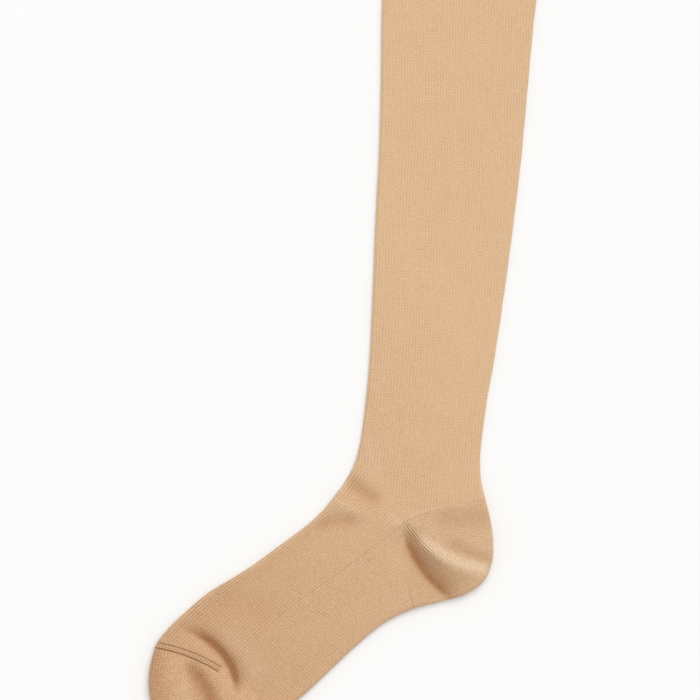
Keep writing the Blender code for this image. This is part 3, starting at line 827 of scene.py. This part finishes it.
def leg_piece():
    """The ribbed tube of the leg and the ribbed upper half of the foot."""
    sections = leg_sections()
    last = np.array(sections[-1])
    onward = 2.0 * last - np.array(sections[-2])
    onward[2:4] = INSTEP[0].fold_x, INSTEP[0].fold_y
    onward[4:6] = fan_tip(HEEL[1], HEEL_CENTRE)
    leg = smooth(sections, LEG_STEPS + ANKLE_STEPS, after=onward)
    front = leg[:, [0, 1, 2, 3, 6, 8]]
    back = leg[:, [0, 1, 4, 5, 7, 9, 10]]
    before = np.array(sections[-2])[[0, 1, 2, 3, 6, 8]]
    before[0:2] = BEND_TANGENT
    start = last[[0, 1, 2, 3, 6, 8]]
    toe_side = np.array([*TOE_CENTRE, *fan_tip(TOE[-3], TOE_CENTRE), *TOE_SIDE_ROW])
    table = [start] + [tuple(row) for row in INSTEP]
    foot = smooth(table, INSTEP_STEPS, before, toe_side)
    front = np.vstack([front, foot[1:]])
    bow = np.concatenate([np.zeros(len(leg)), np.linspace(0.0, SEAM_BOW, len(foot))[1:]])
    cloth = Cloth("leg_knit")
    blocks = (
        (half_rows(front, front[:, 5], bow), columns(FRONT_WALES, fine_until=25.0, fine=6, coarse=3)),
        (half_rows(back, back[:, 5], back[:, 6]), columns(BACK_WALES, fine_until=37.0, fine=6, coarse=3)),
    )
    courses = None
    for rows, wales in blocks:
        shape, turn, _ = lay(rows, wales, FLAT)
        x, y = shape[..., 0], shape[..., 1]
        if courses is None:
            courses = course_numbers(shape)
            numbers, swap = instep_ribs(x, y)
            dark = WALE_DARK * np.exp(-((wales / WALE_HALF) ** 2)) * step_up(x, *WALE_GONE)
            dark[:len(leg)] = 0.0
            swap = swap * (1.0 - step_up(turn, *BEND_OVER)) * step_up(wales, 0.0, 1.0)
            rise, left = seam_relief(x, y)
        else:
            numbers, swap = np.broadcast_to(wales, turn.shape), np.zeros(turn.shape)
            rise, left, dark = 0.0, 1.0, 0.0
        relief = (ribs(wales) * (1.0 - swap) + ribs(numbers) * swap) * RIB_RELIEF * left + rise
        raised = raise_knit(shape, turn, relief)
        along = courses[:len(shape), None]
        cloth.add(raised, shape, turn, (wales, along), (numbers, along), swap, dark)
    cloth.build(finishes["rib_knit"], "leg")


# ---------------------------------------------------------------- the plain panels

def fan_tip(fan, centre):
    """Where a fanned row meets its fold."""
    turn = math.radians(fan.angle)
    return centre[0] + math.cos(turn) * fan.reach, centre[1] + math.sin(turn) * fan.reach


def tuck(points, rows_in=None, columns_in=None):
    """Lower the rows or columns of a loft that run on below a neighbour."""
    lowered = points.copy()
    if rows_in is not None:
        lowered -= outward(points) * (rows_in * TUCK_DROP)[:, None, None]
    if columns_in is not None:
        lowered -= outward(points) * (columns_in * WALE_DROP)[None, :, None]
    lowered[..., 2] = np.maximum(lowered[..., 2], CLEAR)
    return lowered


SOLE_STEPS = [12, 12, 14, 12, 12]
SOLE_START = -0.5         # in wales: it starts this far below the instep
PAST_SOLE = (-112.0, -99.0)     # where its gore wale would run on to


def sole_piece():
    """The plain lower half of the foot."""
    pitch = SOLE[0].pitch
    heel_side = (*HEEL_CENTRE, *fan_tip(HEEL[-2], HEEL_CENTRE), HEEL[-2].edge, pitch)
    toe_side = (*PAST_SOLE, *fan_tip(TOE[1], TOE_CENTRE), TOE[1].edge, pitch)
    rows = smooth(SOLE, SOLE_STEPS, heel_side, toe_side)
    heel_end = rows[0] + (rows[0] - rows[1]) * RUN_ON
    toe_end = rows[-1] + (rows[-1] - rows[-2]) * RUN_ON
    rows = np.vstack([heel_end, rows, toe_end])
    wales = columns(POCKET_WALES, fine_until=33.0, fine=3, coarse=2, start=SOLE_START)
    shape, turn, _ = lay(half_rows(rows, rows[:, 5]), wales, FLAT)
    under = np.zeros(len(rows))
    under[[0, -1]] = 1.0
    edge = np.where(wales < 0.0, 1.0, 0.0)
    raised = tuck(raise_knit(shape, turn, np.zeros(turn.shape)), under, edge)
    cloth = Cloth("sole_knit")
    cloth.add(raised, shape, turn, (wales, course_numbers(shape)[:, None]))
    cloth.build(finishes["sole_knit"], "sole")


def fan_rows(fan, centre, start, end):
    """Rows of a pocket that turn about a centre; the wale moves from start to end."""
    angle = np.radians(fan[:, 0])
    fold = np.stack([np.cos(angle), np.sin(angle)], axis=1) * fan[:, 1:2] + centre
    share = np.linspace(0.0, 1.0, len(fan))[:, None]
    wale = np.array(start) * (1.0 - share) + np.array(end) * share
    return np.hstack([wale, fold, fan[:, 2:3]]), fan[:, 3]


HEEL_STEPS = [10, 12, 12, 14, 16, 16, (22, 1.8)]
HEEL_WALES = 219.0        # direction of the heel's wales below the gore, towards the sole


def heel_wales(x, y):
    """Wales and courses of the heel: down from the leg, then round the gore into the sole."""
    way_x = math.cos(math.radians(HEEL_WALES))
    way_y = math.sin(math.radians(HEEL_WALES))
    below = x * -way_y + y * way_x
    number = np.maximum(x, below) / HEEL_PITCH
    course = np.where(x > below, -y, -(x * way_x + y * way_y)) / COURSE
    return number, course


def heel_piece():
    """The heel pocket: plain rows fanned about the gore point, with its gore stitches."""
    fan = smooth(HEEL, HEEL_STEPS, HEEL_BEFORE, HEEL_AFTER)
    rows, bow = fan_rows(fan, HEEL_CENTRE, HEEL_CENTRE, SOLE[0][:2])
    rows = np.vstack([2.0 * rows[0] - rows[1], rows])
    bow = np.concatenate([2.0 * bow[:1] - bow[1:2], bow])
    wales = columns(POCKET_WALES, fine_until=35.0, fine=3, coarse=2)
    shape, turn, opened = lay(half_rows(rows, HEEL_PITCH, bow), wales, FLAT)
    away, place = beside(curve(*GORE_LINE, FOLD_SAMPLES), *opened)
    fade = (1.0 - GORE_WEAK * step_up(place, *GORE_WEAK_FROM)) * (1.0 - step_up(place, *GORE_END))
    lower = step_up(place, *GORE_LOWER)
    aside = away + GORE_ASIDE + GORE_LOWER_ASIDE * lower
    swap = fade * np.exp(-((aside / (GORE_SPREAD + GORE_LOWER_SPREAD * lower)) ** 2))
    under = np.zeros(len(rows))
    under[0] = 1.0
    raised = tuck(raise_knit(shape, turn, np.zeros(turn.shape)), under)
    cloth = Cloth("heel_knit")
    cross = away / GORE_PITCH, place * GORE_LENGTH / COURSE
    end, along = beside([np.array(SOLE[0][:2]), np.array(SOLE[0][2:4])], *opened)
    dark = HEEL_END_DARK * np.exp(-((end / HEEL_END_HALF) ** 2)) * step_up(along, *HEEL_END_FROM)
    cloth.add(raised, shape, turn, heel_wales(*opened), cross, swap, dark)
    cloth.build(finishes["heel_knit"], "heel")


TOE_STEPS = [12] * 8 + [20, 24]
TOE_WALES = 261.5         # direction of the toe's wales below the seam
SOLE_WALES = 226.0        # and of those that run on from the sole
TOE_MEET = (-158.0, -148.0)     # directions from the gore wale's end between which they meet


def straight_wales(x, y, direction, pitch):
    """Numbers of straight wales, counted to the left of a direction through the gore's end."""
    turn = math.radians(direction)
    left = (x - TOE_CENTRE[0]) * -math.sin(turn) + (y - TOE_CENTRE[1]) * math.cos(turn)
    along = (x - TOE_CENTRE[0]) * math.cos(turn) + (y - TOE_CENTRE[1]) * math.sin(turn)
    return left / pitch, along / COURSE


def toe_piece():
    """The toe cap: plain rows fanned about the end of the gore wale, up to the seam."""
    fan = smooth(TOE, TOE_STEPS, TOE_BEFORE, TOE_AFTER)
    rows, bow = fan_rows(fan, TOE_CENTRE, SOLE[-1][:2], TOE_CENTRE)
    wales = columns(POCKET_WALES, fine_until=28.0, fine=4, coarse=2)
    shape, turn, (x, y) = lay(half_rows(rows, TOE_PITCH, bow), wales, FLAT)
    rise, _ = seam_relief(shape[..., 0], shape[..., 1])
    raised = raise_knit(shape, turn, rise)
    bearing = np.degrees(np.arctan2(y - TOE_CENTRE[1], x - TOE_CENTRE[0]))
    bearing = np.where(bearing > 0.0, bearing - 360.0, bearing)
    swap = step_up(bearing, *TOE_MEET)
    knit = straight_wales(x, y, TOE_WALES, TOE_PITCH)
    cross = straight_wales(x, y, SOLE_WALES, SOLE[-1].pitch)
    cloth = Cloth("toe_knit")
    cloth.add(raised, shape, turn, knit, cross, swap)
    cloth.build(finishes["toe_knit"], "toe")


BAND_OUTSIDE_ROWS = 14
BAND_INSIDE_ROWS = 12
BAND_ROUND_ROWS = 9       # round each rolled edge
BAND_INSIDE_SHORT = 2.0   # how far the inside ends over the leg's edge


def band_piece():
    """The plain double band: round its lower edge, up the outside, over the rim and down inside."""
    top = LEG[0]
    rim = BAND_WALL / 2.0
    high = LEG_TOP + BAND_DEPTH
    low = LEG_TOP - TUCK
    heights = []
    depths = []
    for angle in np.linspace(math.pi, 0.0, BAND_ROUND_ROWS)[:-1]:
        heights.append(low + rim - rim * math.sin(angle))
        depths.append(rim * (1.0 - math.cos(angle)))
    for height in np.linspace(low + rim, high - rim, BAND_OUTSIDE_ROWS):
        heights.append(height)
        depths.append(0.0)
    for angle in np.linspace(0.0, math.pi, BAND_ROUND_ROWS)[1:-1]:
        heights.append(high - rim + rim * math.sin(angle))
        depths.append(rim * (1.0 - math.cos(angle)))
    for height in np.linspace(high - rim, LEG_TOP + BAND_INSIDE_SHORT, BAND_INSIDE_ROWS):
        heights.append(height)
        depths.append(BAND_WALL)
    wale_x = top.front + WALE_FROM_FRONT
    cloth = Cloth("top_band_knit")
    sides = (
        (top.front - BAND_PROUD_FRONT, columns(FRONT_WALES, fine_until=20.0, fine=3, coarse=2)),
        (top.back + BAND_PROUD_BACK, columns(BACK_WALES, fine_until=37.0, fine=3, coarse=2)),
    )
    for fold_x, wales in sides:
        rows = []
        turns = []
        for height, depth in zip(heights, depths):
            row = np.array([[wale_x, height, fold_x, height, BAND_EDGE]])
            points, turn, _ = lay(half_rows(row, top.pitch), wales, BAND_FLAT, depth)
            rows.append(points[0])
            turns.append(turn[0])
        shape = np.stack(rows)
        turn = np.stack(turns)
        raised = raise_knit(shape, turn, np.zeros(turn.shape))
        cloth.add(raised, shape, turn, (wales, course_numbers(shape)[:, None]))
    cloth.build(finishes["band_knit"], "top_band")


# ---------------------------------------------------------------- put together

def make_pieces():
    """Knit every piece of the stocking."""
    leg_piece()
    heel_piece()
    sole_piece()
    toe_piece()
    band_piece()


TABLE_SIZE = 60.0         # metres
SKY = 0.66                # strength of the even light
KEY_STRENGTH = 1.49
KEY_SPREAD = 50.0         # degrees across
KEY_ELEVATION = 58.0
KEY_BEARING = 66.0


def stage():
    """A plain white table and soft light from the upper right."""
    bpy.ops.mesh.primitive_plane_add(size=TABLE_SIZE)
    table = bpy.context.object
    table.name = "table"
    white = Finish("table_white")
    table.data.materials.append(white.surface({
        "Base Color": (0.92, 0.92, 0.915, 1.0), "Roughness": 0.9, "Specular IOR Level": 0.1,
    }))
    world = bpy.data.worlds.new("studio")
    bpy.context.scene.world = world
    world.use_nodes = True
    sky = world.node_tree.nodes["Background"]
    sky.inputs["Color"].default_value = (1.0, 1.0, 1.0, 1.0)
    sky.inputs["Strength"].default_value = SKY
    lamp = bpy.data.lights.new("key", "SUN")
    lamp.energy = KEY_STRENGTH
    lamp.angle = math.radians(KEY_SPREAD)
    key = bpy.data.objects.new("key", lamp)
    key.rotation_euler = (0.0, math.radians(90.0 - KEY_ELEVATION), math.radians(KEY_BEARING))
    bpy.context.scene.collection.objects.link(key)


stage()
make_pieces()

PIXEL = 0.6               # millimetres that one pixel of the view shows
VIEW_PIXELS = 700
LENS = 200.0
SENSOR = 36.0
FAR = 100.0               # metres
CAMERA_ROLL = 2.7         # degrees
CAMERA_OVER = (-36.6, 101.6)    # the view's middle on the pattern plane


def camera():
    """A long lens straight above, turned so that the leg leans as it lies."""
    lens = bpy.data.cameras.new("camera")
    lens.lens = LENS
    lens.sensor_width = SENSOR
    lens.clip_end = FAR
    view = bpy.data.objects.new("camera", lens)
    away = PIXEL * VIEW_PIXELS * LENS / SENSOR
    view.location = (
        (CAMERA_OVER[0] + HOME[0]) * MM, (CAMERA_OVER[1] + HOME[1]) * MM, away * MM
    )
    view.rotation_euler = (0.0, 0.0, math.radians(CAMERA_ROLL))
    bpy.context.scene.collection.objects.link(view)
    bpy.context.scene.camera = view


camera()
bpy.context.scene.view_settings.view_transform = "Standard"
